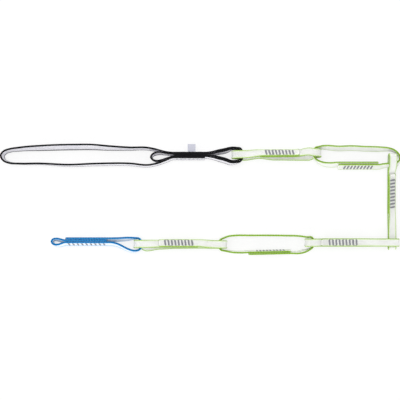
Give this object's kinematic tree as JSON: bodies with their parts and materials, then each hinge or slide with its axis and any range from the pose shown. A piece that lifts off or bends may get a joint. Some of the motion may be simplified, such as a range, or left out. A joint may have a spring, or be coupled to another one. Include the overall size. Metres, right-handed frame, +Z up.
{
  "type": "personal anchor chain",
  "caption": "Chain of sewn webbing rings lying flat and on edge by turns, with a long tie-in ring at one end and a small clip-in ring at the other, laid out in a U.",
  "frame": {"origin": "middle of the underside of the whole laid-out chain, on the surface that it lies on", "axes": "+X along the chain's two long sides, from the tie-in ring towards ring 2; +Y towards the side of the tie-in ring; +Z up"},
  "size_m": [0.5486, 0.1526, 0.0163],
  "materials": {
    "black_webbing": "woven tape, black edges and a pale middle",
    "green_webbing": "woven tape, white with green edges",
    "blue_webbing": "woven tape, blue edges and a pale middle",
    "grey_thread": "satin sewing thread",
    "label_tape": "smooth white tape"
  },
  "bodies": {
    "tie_in": {"tie_in_webbing": "black_webbing", "tie_in_needle_thread": "grey_thread", "tie_in_bobbin_thread": "grey_thread"},
    "label": {"label_tab": "label_tape"},
    "ring_1": {"ring_1_webbing": "green_webbing", "ring_1_needle_thread": "grey_thread", "ring_1_bobbin_thread": "grey_thread"},
    "ring_2": {"ring_2_webbing": "green_webbing", "ring_2_needle_thread": "grey_thread", "ring_2_bobbin_thread": "grey_thread"},
    "ring_3": {"ring_3_webbing": "green_webbing", "ring_3_needle_thread": "grey_thread", "ring_3_bobbin_thread": "grey_thread"},
    "ring_4": {"ring_4_webbing": "green_webbing", "ring_4_needle_thread": "grey_thread", "ring_4_bobbin_thread": "grey_thread"},
    "ring_5": {"ring_5_webbing": "green_webbing", "ring_5_needle_thread": "grey_thread", "ring_5_bobbin_thread": "grey_thread"},
    "ring_6": {"ring_6_webbing": "green_webbing", "ring_6_needle_thread": "grey_thread", "ring_6_bobbin_thread": "grey_thread"},
    "end_ring": {"end_webbing": "blue_webbing", "end_needle_thread": "grey_thread", "end_bobbin_thread": "grey_thread"}
  },
  "joints": [
    {"name": "tie_in_to_ring_1", "type": "hinge", "parent": "tie_in", "child": "ring_1", "pos_m": [0.05561, 0.06084, 0.00795], "axis": [0, -1, 0], "range_deg": [0, 60]},
    {"name": "ring_1_to_ring_2", "type": "hinge", "parent": "ring_1", "child": "ring_2", "pos_m": [0.15504, 0.06249, 0.00754], "axis": [0, -1, 0], "range_deg": [0, 60]},
    {"name": "ring_2_to_ring_3", "type": "hinge", "parent": "ring_2", "child": "ring_3", "pos_m": [0.26274, 0.0476, 0.00754], "axis": [-1, 0, 0], "range_deg": [0, 90]},
    {"name": "ring_3_to_ring_4", "type": "hinge", "parent": "ring_3", "child": "ring_4", "pos_m": [0.26274, -0.05922, 0.00566], "axis": [0, 0, 1], "range_deg": [-10, 15]},
    {"name": "ring_4_to_ring_5", "type": "hinge", "parent": "ring_4", "child": "ring_5", "pos_m": [0.15432, -0.05922, 0.00754], "axis": [0, 1, 0], "range_deg": [0, 90]},
    {"name": "ring_5_to_ring_6", "type": "hinge", "parent": "ring_5", "child": "ring_6", "pos_m": [0.02572, -0.06182, 0.00754], "axis": [0, 1, 0], "range_deg": [0, 90]},
    {"name": "ring_6_to_end_ring", "type": "hinge", "parent": "ring_6", "child": "end_ring", "pos_m": [-0.08121, -0.06127, 0.00754], "axis": [0, 1, 0], "range_deg": [0, 90]},
    {"name": "label_root", "type": "hinge", "parent": "tie_in", "child": "label", "pos_m": [-0.01219, 0.06641, 0.00926], "axis": [1, 0, 0], "range_deg": [-60, 75]}
  ]
}
